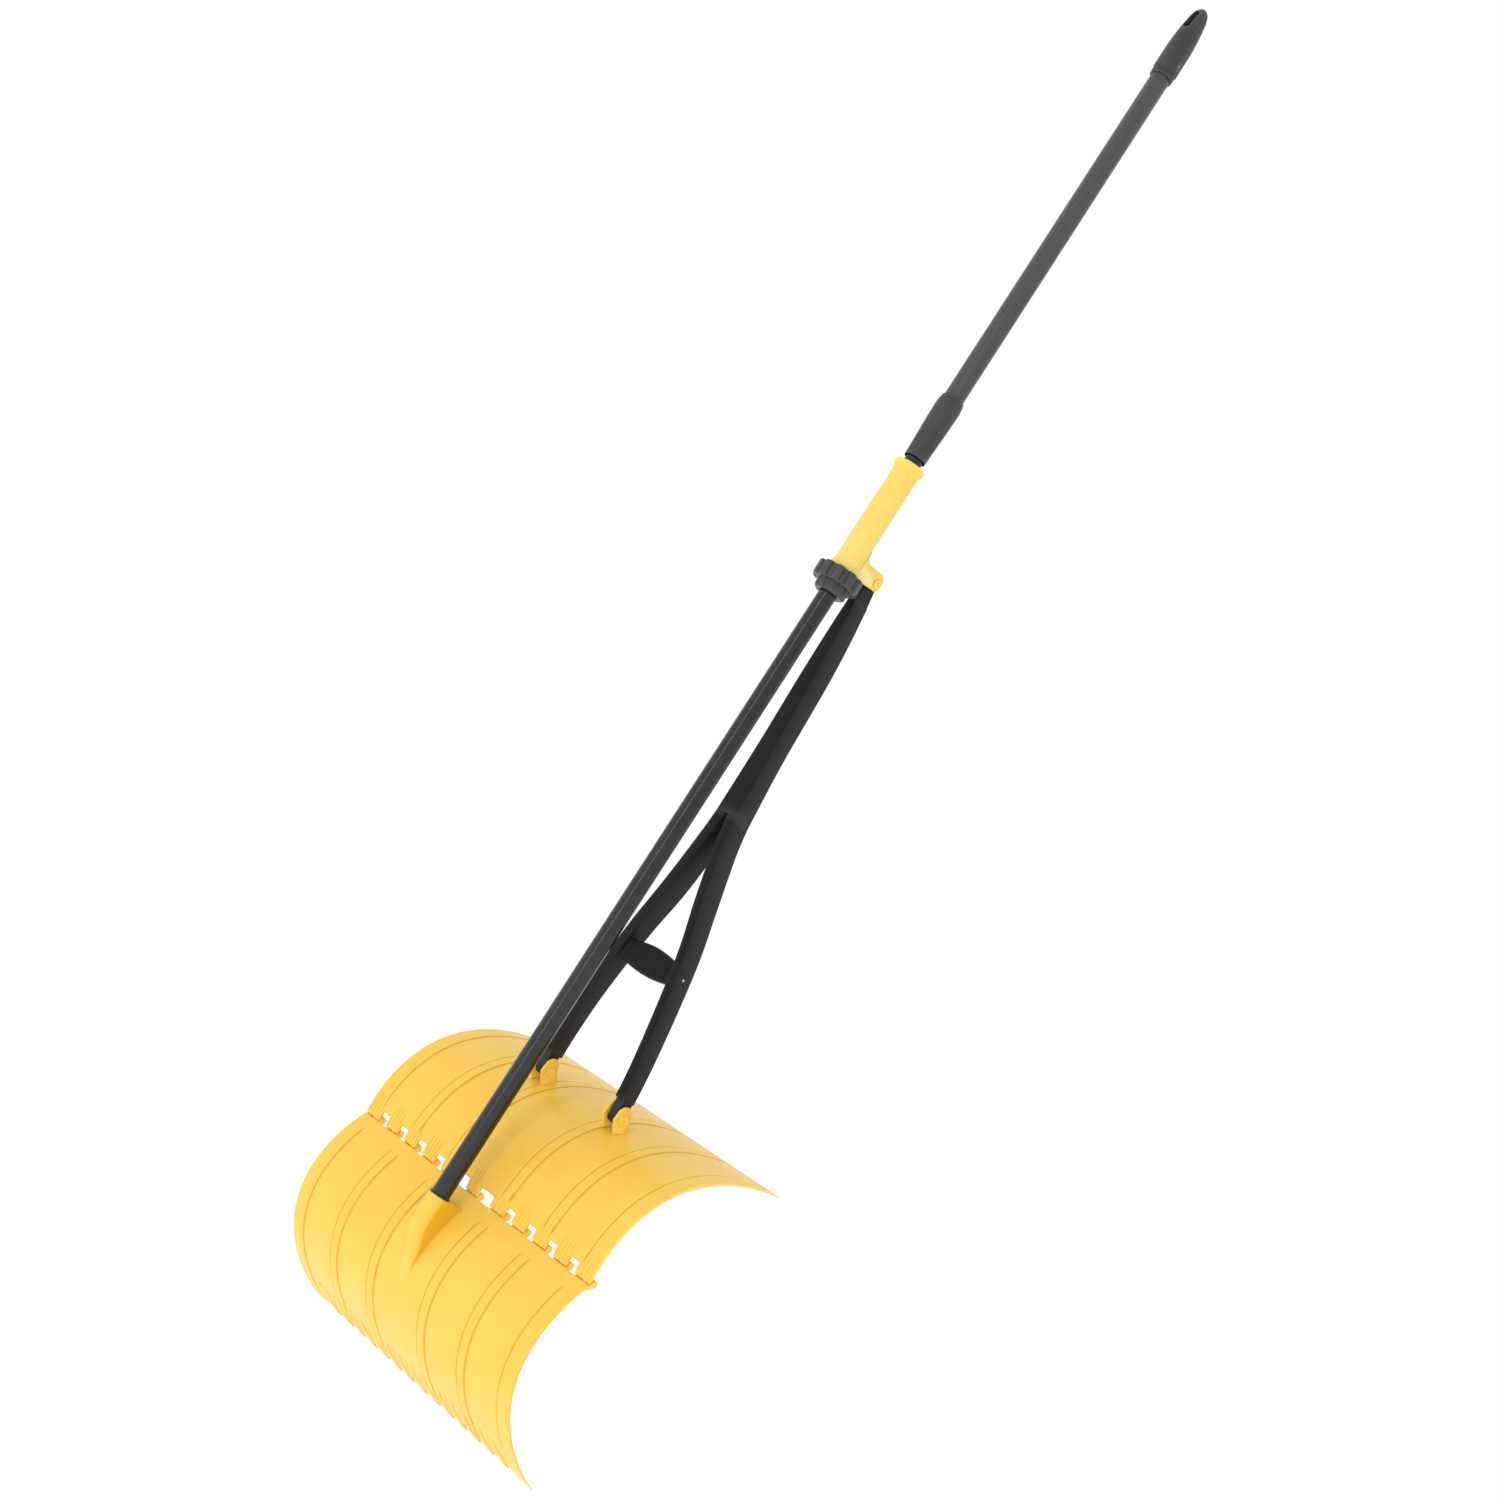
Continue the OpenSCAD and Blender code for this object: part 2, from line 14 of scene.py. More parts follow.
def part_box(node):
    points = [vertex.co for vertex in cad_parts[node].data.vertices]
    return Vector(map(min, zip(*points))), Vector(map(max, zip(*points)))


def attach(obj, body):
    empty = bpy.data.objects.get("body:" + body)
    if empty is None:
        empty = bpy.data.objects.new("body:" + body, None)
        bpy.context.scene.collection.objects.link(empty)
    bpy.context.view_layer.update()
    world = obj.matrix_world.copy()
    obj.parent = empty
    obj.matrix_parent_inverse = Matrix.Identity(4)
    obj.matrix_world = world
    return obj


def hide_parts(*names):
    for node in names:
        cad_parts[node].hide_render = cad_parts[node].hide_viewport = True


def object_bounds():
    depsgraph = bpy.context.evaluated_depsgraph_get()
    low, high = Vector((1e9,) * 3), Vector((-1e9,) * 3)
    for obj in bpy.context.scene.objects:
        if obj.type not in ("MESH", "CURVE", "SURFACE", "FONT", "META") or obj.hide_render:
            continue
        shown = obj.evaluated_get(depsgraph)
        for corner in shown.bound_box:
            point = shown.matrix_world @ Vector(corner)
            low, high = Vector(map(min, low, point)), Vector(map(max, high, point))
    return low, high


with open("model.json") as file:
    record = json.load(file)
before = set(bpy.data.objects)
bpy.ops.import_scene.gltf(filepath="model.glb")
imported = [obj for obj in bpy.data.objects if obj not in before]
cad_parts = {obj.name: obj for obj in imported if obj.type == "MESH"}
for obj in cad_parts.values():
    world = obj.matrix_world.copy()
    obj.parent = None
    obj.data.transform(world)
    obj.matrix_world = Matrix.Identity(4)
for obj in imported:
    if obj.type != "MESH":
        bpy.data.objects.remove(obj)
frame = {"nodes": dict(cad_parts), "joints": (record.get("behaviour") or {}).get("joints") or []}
CAD_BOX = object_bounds()

MM = 0.001
JOINTS = {j["name"]: j for j in frame["joints"]}
HINGE = Vector(JOINTS["jaw_fold"]["pos_m"])


def in_hinge_mm(point):
    return (Vector(point) - HINGE) / MM


def node_span(node):
    """Lowest and highest corner of a CAD node, in hinge millimetres."""
    low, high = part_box(node)
    return in_hinge_mm(low), in_hinge_mm(high)


# ---------------------------------------------------------------- driving sizes, mm

POLE_Y = in_hinge_mm((0, 0, 0)).y
LEG_PIN = in_hinge_mm(JOINTS["yoke_swing"]["pos_m"])
GRIP_PIN = sum(node_span("grip_pin"), Vector()) / 2
LOWER_R = node_span("lower_tube")[1].x
UPPER_R = node_span("upper_tube")[1].x
TUBE_GAP = 0.3               # clearance of the pieces that slide on a tube
TUBE_FLUTES = 6              # shallow flutes along the upper tube
TUBE_FLUTE = 0.62
JAW_HALF = node_span("front_scoop")[1].x

# Side profiles of the jaws: control points of one cubic curve each, on the outer face
FRONT_CTRL = [(-9, -2.5), (-69, -100), (-15, -177), (92, -217)]
REAR_CTRL = [(-9.5, 3), (-16, 85), (34, 163), (195, 174.5)]
REAR_LEAD = 4.6              # the rear sheet reaches down this far over its knuckles
SHEET_T = 2.8
EDGE_T = 1.4
RIB_X = [50, 124]
RIB_HALF = 6.5
RIM_X = 190
RIB_RISE = 0.6
LINE_DEPTH = 0.5             # fine lines beside the ribs and rims
LINE_HALF = 1.25
TOOTH_PITCH = 25.3
TOOTH_COUNT = 14
TOOTH_L = 15
SHEET_ROWS = 120             # mesh rows along a jaw
SHEET_RIM = 0.55             # rounding of the edges of the sheet
FLUTE_DEPTH = 0.8
TOOTH_CROWN = 0.7

# Hinge: windows between groups of three knuckles
WINDOW_X = [22.5, 66.5, 103.5, 140.5, 177.5]
WINDOW_HALF = [12, 7.5, 7.5, 7.5, 7.5]
KNUCKLE_R = 4.5
KNUCKLE_GAP = 0.4
WINDOW_CLEAR = 11.5

# Socket, brackets
SOCKET_HALF = 13.1
SOCKET_TIP = -116
SOCKET_MOUTH = -20
EAR_GAP = 7.8
EAR_T = 4
EAR_OUTLINE = [(0, -18.5), (-12, -4), (-10.5, 9), (-6, 14.5), (1, 16), (7, 13), (10, 6), (20, -8)]
LEG_X = 66

# Grip, collar and sleeve: heights above the hinge line
GRIP_BOTTOM = 808
GRIP_TOP = 956
SPIGOT_BOTTOM = 787
SPIGOT_R = 14.4
GRIP_R = 16.25
FLANGE_R = 19.2
RING_COUNT = 11
RING_PITCH = 10.5
CHEEK_GAP = 6.4
CHEEK_T = 3.8
COLLAR_BOTTOM = 776
COLLAR_STEP = 787.5
COLLAR_TOP = 806.5
COLLAR_R = 29
COLLAR_LOW_R = 20
LOBES = 10
LOBE_DIPS = (1.9, 3.6)       # depth of the gaps between the lobes, below and above the step
RIDGE_RISE = 0.45            # moulded ridge along each side of the grip
SLEEVE_BOTTOM = 966
SLEEVE_TOP = 1052

# Yoke: half widths and depths at stations up its length
FORK = [(140, 72.5, 59.5), (200, 70.5, 57.5), (250, 65.5, 52.5), (300, 58, 45), (350, 48.5, 35.5),
        (400, 35.5, 22.5), (440, 26.5, 13.5), (480, 19, 6), (520, 14.5, 0)]
STEM = [(500, 16.5), (600, 13), (700, 10.5), (760, 8), (796, 6.1), (836, 6)]
SIDE = [(140, 42.5, 63.5), (170, 40, 62), (250, 31.5, 56), (350, 22.5, 51), (400, 17, 48), (480, 9, 39),
        (560, 5, 31.5), (740, -6, 22.5), (812, -10, 15)]
YOKE_WALL = 2.6
LEG_HOLLOW = (195, 500)
STEM_HOLLOW = (545, 770)
FOOT_Z = 171
TONGUE_HALF = 6
EYE_R = 8
PIN_CLEAR = 3.4
BRACE_Y = 38
BRACE_Z = 318
BRACE_HALF = 41.3
BRACE_T = 12
BRACE_RISE = 17.5            # half height at the middle of the brace
BRACE_ARC = 150
BRACE_CORNER = 3.5
BRACE_LEAN = 0.185           # how much the ends of the brace follow the slope of the legs


# ---------------------------------------------------------------- mesh helpers

def smoothstep(t):
    t = np.clip(t, 0, 1)
    return t * t * (3 - 2 * t)


def make_object(name, parts, body, material, replaces=(), sharp=38):
    """One object from a list of (points in hinge mm, faces[, painted shade of each point]), riding on a
    CAD body.
    """
    verts, faces, lines = [], [], []
    # The optional third item is painted shade: how much of the darker groove colour each point gets.
    for points, polys, *depth in parts:
        base = len(verts)
        verts += [tuple(HINGE + Vector(p) * MM) for p in points]
        faces += [tuple(base + i for i in f) for f in polys]
        lines += depth[0] if depth else [0.0] * len(points)
    mesh = bpy.data.meshes.new(name)
    mesh.from_pydata(verts, [], faces)
    # The line attribute hands that painted shade to the material.
    if any(lines):
        mesh.attributes.new("line", "FLOAT", "POINT").data.foreach_set("value", lines)
    mesh.shade_smooth()
    mesh.set_sharp_from_angle(angle=math.radians(sharp))
    mesh.materials.append(material)
    piece = bpy.data.objects.new(name, mesh)
    bpy.context.scene.collection.objects.link(piece)
    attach(piece, body)
    if replaces:
        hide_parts(*replaces)
    return piece


def fillet(points, radius, steps=4, closed=True):
    """Rounds the corners of an outline. radius is one number, or one for each corner."""
    pts = [np.array(p, float) for p in points]
    n = len(pts)
    radii = radius if hasattr(radius, "__len__") else [radius] * n
    out = []
    for i, p in enumerate(pts):
        if radii[i] <= 0 or (not closed and i in (0, n - 1)):
            out.append(p)
            continue
        a, b = pts[i - 1], pts[(i + 1) % n]
        u, v = a - p, b - p
        lu, lv = np.linalg.norm(u), np.linalg.norm(v)
        u, v = u / lu, v / lv
        half = math.acos(max(-1, min(1, float(u @ v)))) / 2
        reach = min(radii[i] / math.tan(half), 0.45 * lu, 0.45 * lv) if half < 1.5 else 0
        if reach < 0.01:
            out.append(p)
            continue
        for k in range(steps + 1):
            t = k / steps
            out.append((1 - t) ** 2 * (p + u * reach) + 2 * t * (1 - t) * p + t * t * (p + v * reach))
    return out


def lathe(profile, segments=72, ripple=None):
    """Turned shape about the pole axis. profile runs along (radius, height); ripple(radius, height, angle)
    may change the radius. Ends at radius 0 are closed."""
    points, faces, rows = [], [], []
    for r, z in profile:
        if r <= 1e-6:
            rows.append([len(points)])
            points.append((0, POLE_Y, z))
            continue
        row = []
        for k in range(segments):
            a = 2 * math.pi * k / segments
            rr = ripple(r, z, a) if ripple else r
            row.append(len(points))
            points.append((rr * math.cos(a), POLE_Y + rr * math.sin(a), z))
        rows.append(row)
    for lower, upper in zip(rows, rows[1:]):
        for k in range(segments):
            a, b = lower[k % len(lower)], lower[(k + 1) % len(lower)]
            c, d = upper[(k + 1) % len(upper)], upper[k % len(upper)]
            face = [a, b, c, d]
            face = [v for i, v in enumerate(face) if v not in face[:i]]
            if len(face) > 2:
                faces.append(face)
    return points, faces


def ring_profile(outline, radius=0.0):
    """Closed (radius, height) outline of a hollow turned piece, with its corners rounded."""
    pts = fillet(outline, radius)
    return [tuple(p) for p in pts] + [tuple(pts[0])]


def loft(loops, cap=True):
    """Skin over loops of the same number of points."""
    points = [tuple(p) for loop in loops for p in loop]
    n = len(loops[0])
    faces = []
    for j in range(len(loops) - 1):
        for i in range(n):
            a, b = j * n + i, j * n + (i + 1) % n
            faces.append((a, b, b + n, a + n))
    if cap:
        faces.append(tuple(reversed(range(n))))
        last = (len(loops) - 1) * n
        faces.append(tuple(last + i for i in range(n)))
    return points, faces


def offset_outline(outline, distance):
    """A closed [y, z] outline moved in by distance along its own normals."""
    pts = np.array(outline, float)
    ahead = np.roll(pts, -1, 0) - pts
    back = pts - np.roll(pts, 1, 0)
    ahead /= np.linalg.norm(ahead, axis=1, keepdims=True) + 1e-9
    back /= np.linalg.norm(back, axis=1, keepdims=True) + 1e-9
    area = np.sum(pts[:, 0] * np.roll(pts[:, 1], -1) - np.roll(pts[:, 0], -1) * pts[:, 1])
    turn = 1 if area > 0 else -1
    normal = turn * np.stack([-(ahead[:, 1] + back[:, 1]), ahead[:, 0] + back[:, 0]], 1)
    length = np.linalg.norm(normal, axis=1, keepdims=True)
    return pts + normal / (length + 1e-9) * distance / np.maximum(length / 2, 0.35)


def slab(outline, x0, x1, edge=0.6, steps=3):
    """Plate cut from a [y, z] outline, between x0 and x1, with rounded rims."""
    loops = []
    for k in range(steps + 1):
        a = math.pi / 2 * k / steps
        ring = offset_outline(outline, edge * (1 - math.sin(a)))
        loops.append([(x0 + edge * (1 - math.cos(a)), y, z) for y, z in ring])
    for k in range(steps, -1, -1):
        a = math.pi / 2 * k / steps
        ring = offset_outline(outline, edge * (1 - math.sin(a)))
        loops.append([(x1 - edge * (1 - math.cos(a)), y, z) for y, z in ring])
    return loft(loops)


def round_bar(radius, x0, x1, y, z, edge=0.6, segments=28):
    """Short bar along X with rounded rims."""
    circle = [(y + radius * math.cos(a), z + radius * math.sin(a))
              for a in np.linspace(0, 2 * math.pi, segments, endpoint=False)]
    return slab(circle, x0, x1, edge)


def table(rows, column, height):
    """Smooth value at a height from rows of (height, ...)."""
    zs = [r[0] for r in rows]
    vs = [r[column] for r in rows]
    slopes = np.gradient(vs, zs)
    i = int(np.clip(np.searchsorted(zs, height) - 1, 0, len(zs) - 2))
    h = zs[i + 1] - zs[i]
    t = float(np.clip((height - zs[i]) / h, 0, 1))
    return ((2 * t**3 - 3 * t**2 + 1) * vs[i] + (t**3 - 2 * t**2 + t) * h * slopes[i]
            + (3 * t**2 - 2 * t**3) * vs[i + 1] + (t**3 - t**2) * h * slopes[i + 1])


# ---------------------------------------------------------------- materials

def new_material(name):
    material = bpy.data.materials.new(name)
    material.use_nodes = True
    nodes = material.node_tree.nodes
    return material, nodes, material.node_tree.links, nodes["Principled BSDF"]


def object_noise(nodes, links, scale, detail=4, stretch=(1, 1, 1), roughness=0.55):
    """Noise in the object's own coordinates, in cells per metre."""
    coords = nodes.new("ShaderNodeTexCoord")
    mapping = nodes.new("ShaderNodeMapping")
    mapping.inputs["Scale"].default_value = stretch
    noise = nodes.new("ShaderNodeTexNoise")
    noise.inputs["Scale"].default_value = scale
    noise.inputs["Detail"].default_value = detail
    noise.inputs["Roughness"].default_value = roughness
    links.new(coords.outputs["Object"], mapping.inputs["Vector"])
    links.new(mapping.outputs["Vector"], noise.inputs["Vector"])
    return noise.outputs["Fac"]


def ramp(nodes, links, source, stops):
    """Colour or value ramp; stops are (position, colour or grey)."""
    node = nodes.new("ShaderNodeValToRGB")
    elements = node.color_ramp.elements
    while len(elements) < len(stops):
        elements.new(0.5)
    for element, (position, colour) in zip(elements, stops):
        element.position = position
        rgb = colour if hasattr(colour, "__len__") else (colour,) * 3
        element.color = (*rgb, 1)
    links.new(source, node.inputs["Fac"])
    return node.outputs["Color"]


def mix_colour(nodes, links, factor, a, b, mode="MIX"):
    node = nodes.new("ShaderNodeMix")
    node.data_type = "RGBA"
    node.blend_type = mode
    for value, socket in ((factor, 0), (a, 6), (b, 7)):
        if isinstance(value, bpy.types.NodeSocket):
            links.new(value, node.inputs[socket])
        elif socket == 0:
            node.inputs[socket].default_value = value
        else:
            node.inputs[socket].default_value = (*value, 1)
    return node.outputs[2]


def add_bump(nodes, links, bsdf, height, strength, distance):
    bump = nodes.new("ShaderNodeBump")
    bump.inputs["Strength"].default_value = strength
    bump.inputs["Distance"].default_value = distance
    previous = bsdf.inputs["Normal"].links
    if previous:
        links.new(previous[0].from_socket, bump.inputs["Normal"])
    links.new(height, bump.inputs["Height"])
    links.new(bump.outputs["Normal"], bsdf.inputs["Normal"])


def edge_mask(nodes, links, low=0.505, high=0.56):
    """1 on convex edges and corners, 0 elsewhere."""
    geometry = nodes.new("ShaderNodeNewGeometry")
    return ramp(nodes, links, geometry.outputs["Pointiness"], [(low, 0.0), (high, 1.0)])


def plastic(name, base, tint, worn, roughness, grain=0.25, specular=0.5, patch_scale=9, line=None):
    """Moulded plastic: soft patches of colour, fine moulded grain, paler rubbed edges, and painted shade
    in the line colour where the line attribute asks for it.
    """
    material, nodes, links, bsdf = new_material(name)
    patches = ramp(nodes, links, object_noise(nodes, links, patch_scale, 3), [(0.36, 0.0), (0.66, 1.0)])
    colour = mix_colour(nodes, links, patches, base, tint)
    colour = mix_colour(nodes, links, edge_mask(nodes, links), colour, worn)
    if line:
        # Painted shade: the line colour darkens the grooves, the flutes and the socket's sides as the line
        # attribute gives.
        groove_shade_attr = nodes.new("ShaderNodeAttribute")
        groove_shade_attr.attribute_name = "line"
        colour = mix_colour(nodes, links, groove_shade_attr.outputs["Fac"], colour, line)
    links.new(colour, bsdf.inputs["Base Color"])
    scuffs = object_noise(nodes, links, 240, 5, (1, 1, 0.18))
    links.new(ramp(nodes, links, scuffs, [(0.3, roughness - 0.06), (0.75, roughness + 0.1)]),
              bsdf.inputs["Roughness"])
    bsdf.inputs["Specular IOR Level"].default_value = specular
    add_bump(nodes, links, bsdf, object_noise(nodes, links, 2600, 2), grain, 0.0002)
    add_bump(nodes, links, bsdf, object_noise(nodes, links, 60, 2), 0.12, 0.0006)
    return material


def painted_steel(name, base, worn, roughness, coat):
    """Painted or powder-coated tube with faint drawn lines along it."""
    material, nodes, links, bsdf = new_material(name)
    streaks = object_noise(nodes, links, 420, 4, (1, 1, 0.012))
    colour = mix_colour(nodes, links, ramp(nodes, links, streaks, [(0.4, 0.0), (0.7, 1.0)]),
                        base, tuple(min(1, c * 1.35) for c in base))
    colour = mix_colour(nodes, links, edge_mask(nodes, links, 0.53, 0.6), colour, worn)
    links.new(colour, bsdf.inputs["Base Color"])
    links.new(ramp(nodes, links, object_noise(nodes, links, 160, 4, (1, 1, 0.1)),
                   [(0.3, roughness - 0.04), (0.75, roughness + 0.08)]), bsdf.inputs["Roughness"])
    bsdf.inputs["Coat Weight"].default_value = coat
    bsdf.inputs["Coat Roughness"].default_value = 0.12
    add_bump(nodes, links, bsdf, object_noise(nodes, links, 1500, 2), 0.10, 0.0001)
    return material


def bare_steel(name):
    material, nodes, links, bsdf = new_material(name)
    brushed = object_noise(nodes, links, 900, 4, (0.05, 1, 1))
    links.new(ramp(nodes, links, brushed, [(0.3, (0.42, 0.42, 0.43)), (0.7, (0.62, 0.62, 0.64))]),
              bsdf.inputs["Base Color"])
    links.new(ramp(nodes, links, brushed, [(0.3, 0.28), (0.7, 0.42)]), bsdf.inputs["Roughness"])
    bsdf.inputs["Metallic"].default_value = 1.0
    return material


# line is painted shade: the dark orange laid in the rib grooves, in the tooth flutes and on the sides of
# the pole socket.
YELLOW = plastic("yellow_plastic", (0.91, 0.545, 0.045), (0.93, 0.58, 0.075), (0.97, 0.68, 0.13), 0.36,
                 line=(0.74, 0.40, 0.002))
GRIP_YELLOW = plastic("grip_yellow", (0.84, 0.60, 0.10), (0.89, 0.66, 0.15), (0.95, 0.76, 0.28), 0.5)
BLACK_PLASTIC = plastic("black_plastic", (0.034, 0.034, 0.035), (0.048, 0.048, 0.049),
                        (0.06, 0.06, 0.062), 0.38, grain=0.4, patch_scale=25)
GREY_PLASTIC = plastic("grey_plastic", (0.024, 0.024, 0.025), (0.036, 0.036, 0.037),
                       (0.06, 0.06, 0.062), 0.46, grain=0.4, patch_scale=30)
YOKE_BLACK = plastic("yoke_black", (0.004, 0.004, 0.0042), (0.007, 0.007, 0.0073), (0.04, 0.04, 0.041),
                     0.30, grain=0.3, specular=0.1, patch_scale=25)
BLACK_STEEL = painted_steel("black_steel", (0.008, 0.008, 0.0085), (0.07, 0.07, 0.07), 0.16, 0.0)
GREY_STEEL = painted_steel("grey_steel", (0.046, 0.046, 0.047), (0.12, 0.12, 0.12), 0.34, 0.0)
STEEL = bare_steel("pin_steel")


# ---------------------------------------------------------------- jaws

class Profile:
    """Outer curve of a jaw, by distance from its hinge end."""

    def __init__(self, ctrl, side, lead=0):
        p = np.array(ctrl, float)
        t = np.linspace(0, 1, 1601)[:, None]
        self.curve = ((1 - t)**3 * p[0] + 3 * (1 - t)**2 * t * p[1]
                      + 3 * (1 - t) * t**2 * p[2] + t**3 * p[3])
        if lead:
            drops = np.linspace(lead, 0, 21)[:-1]
            self.curve = np.vstack([[(p[0][0], p[0][1] - d) for d in drops], self.curve])
            t = np.vstack([np.zeros((len(drops), 1)), t])
        step = np.gradient(self.curve, axis=0)
        step /= np.linalg.norm(step, axis=1, keepdims=True)
        self.inward = side * np.stack([-step[:, 1], step[:, 0]], 1)
        self.s = np.r_[0, np.cumsum(np.linalg.norm(np.diff(self.curve, axis=0), axis=1))]
        self.length = float(self.s[-1])
        self.t = t[:, 0]

    def at(self, s, depth):
        """[y, z] at distance s and depth under the outer face."""
        y = np.interp(s, self.s, self.curve[:, 0]) + np.interp(s, self.s, self.inward[:, 0]) * depth
        z = np.interp(s, self.s, self.curve[:, 1]) + np.interp(s, self.s, self.inward[:, 1]) * depth
        return y, z

    def thickness(self, s):
        t = np.interp(s, self.s, self.t)
        return SHEET_T - (SHEET_T - EDGE_T) * t**5


def band(x, centre, half, soft):
    """1 inside a band about centre, falling to 0 over soft at its sides."""
    return smoothstep((half + soft / 2 - np.abs(x - centre)) / soft)


def columns(marks, half, widest=4.0, least=0.3):
    """Sorted places across a jaw: all the marks, and no gap wider than widest."""
    xs = sorted(m for m in set(marks) | {-half, half} if abs(m) <= half)
    kept = [xs[0]]
    for x in xs[1:-1]:
        if x - kept[-1] >= least and half - x >= least:
            kept.append(x)
    kept.append(xs[-1])
    out = [kept[0]]
    for x in kept[1:]:
        n = max(1, math.ceil((x - out[-1]) / widest))
        start = out[-1]
        out += [start + (x - start) * k / n for k in range(1, n + 1)]
    return np.array(out)


def jaw_skin(profile, xs, start, end, lift, lines):
    """Closed moulded sheet. start(x) and end(x) give its outline, lift(x, s) its relief and
    lines(x, s) the share of painted shade, where s is the distance along the profile."""
    rows, edge = SHEET_ROWS, SHEET_RIM
    s_plain = profile.length * np.linspace(0, 1, rows)
    near = 1 - smoothstep(s_plain / 22)
    far = smoothstep((s_plain - (profile.length - 30)) / 30)
    half = xs[-1]
    n_x = len(xs)

    def outline_s(x, inset):
        return (start(x) + inset) * near + s_plain * (1 - near - far) + (end(x) - inset) * far

    def grid(inset, depth_of):
        out = []
        for x in xs:
            s = outline_s(x, inset)
            y, z = profile.at(s, depth_of(x, s))
            out += [(x * (1 - inset / half), float(p), float(q)) for p, q in zip(y, z)]
        return out

    points = grid(edge, lambda x, s: -lift(x, s))
    # Painted shade for each point of the outer face; the inner face repeats it and the rim gets none.
    shades = [float(v) for x in xs for v in lines(x, outline_s(x, edge))]
    points += grid(edge, lambda x, s: profile.thickness(s) - 0.6 * lift(x, s))
    shades += shades
    faces = []
    layer = n_x * rows
    for i in range(n_x - 1):
        for j in range(rows - 1):
            a = i * rows + j
            quad = (a, a + rows, a + rows + 1, a + 1)
            faces.append(quad)
            faces.append(tuple(q + layer for q in reversed(quad)))
    rim = ([(i, 0) for i in range(n_x)] + [(n_x - 1, j) for j in range(1, rows)]
           + [(i, rows - 1) for i in range(n_x - 2, -1, -1)] + [(0, j) for j in range(rows - 2, 0, -1)])
    loops = [[i * rows + j for i, j in rim]]
    for share in (0.3, 0.7):
        loop = []
        for i, j in rim:
            x = xs[i]
            s = outline_s(x, 0)[j]
            depth = profile.thickness(s) * share - lift(x, np.array([s]))[0] * (1 - 1.6 * share)
            y, z = profile.at(s, depth)
            loop.append(len(points))
            points.append((float(x), float(y), float(z)))
            shades.append(0.0)
        loops.append(loop)
    loops.append([layer + i * rows + j for i, j in rim])
    n = len(rim)
    for a, b in zip(loops, loops[1:]):
        for k in range(n):
            faces.append((a[k], b[k], b[(k + 1) % n], a[(k + 1) % n]))
    return points, faces, shades


def window_groups():
    """Spans along X of the knuckle groups between the windows."""
    groups = [(-WINDOW_X[0] + WINDOW_HALF[0], WINDOW_X[0] - WINDOW_HALF[0])]
    for i, (x, half) in enumerate(zip(WINDOW_X, WINDOW_HALF)):
        last = i == len(WINDOW_X) - 1
        end = JAW_HALF if last else WINDOW_X[i + 1] - WINDOW_HALF[i + 1]
        groups += [(x + half, end), (-end, -x - half)]
    return groups


def knuckle_spans(which):
    """Spans of the knuckles of one jaw: the outer two of each three, or the middle one."""
    spans = []
    for a, b in window_groups():
        width = (b - a) / 3
        for k in which:
            spans.append((a + width * k + KNUCKLE_GAP / 2, a + width * (k + 1) - KNUCKLE_GAP / 2))
    return spans


def rib_fade(s, length):
    return smoothstep((s - 15) / 6) * smoothstep((length - 9 - s) / 14)


def ribs(x, s, length):
    """Raised rib bands and side rims, each with a fine groove along its foot."""
    total = np.zeros_like(s)
    for c in RIB_X:
        total = total + RIB_RISE * band(abs(x), c, RIB_HALF, 1.6)
    total = total + RIB_RISE * smoothstep((abs(x) - RIM_X + 0.8) / 1.6)
    return (total - LINE_DEPTH * line_share(x)) * rib_fade(s, length)


def line_share(x):
    """1 on the fine lines beside the ribs and rims, 0 elsewhere. It sets their groove depth and the
    painted shade in them.
    """
    places = [c + e * (RIB_HALF + 0.6) for c in RIB_X for e in (-1, 1)] + [RIM_X - 1]
    return max(float(band(abs(x), c, LINE_HALF, 0.9)) for c in places)


def rib_marks():
    marks = []
    for c in RIB_X:
        for e in (c - RIB_HALF, c + RIB_HALF):
            marks += [e + d for d in (-2.2, -1.5, -0.9, -0.5, 0, 0.5, 0.9, 1.5, 2.2)]
    marks += [RIM_X + d for d in (-2.6, -1.9, -1.2, -0.6, 0, 0.6, 1.2)]
    marks += [JAW_HALF - 0.7, JAW_HALF - 1.6]
    return [s * m for m in marks for s in (-1, 1)]


def tooth_phase(x):
    """Distance from the middle of the nearest tooth, as a share of half a pitch."""
    return abs((x / TOOTH_PITCH) % 1 - 0.5) * 2


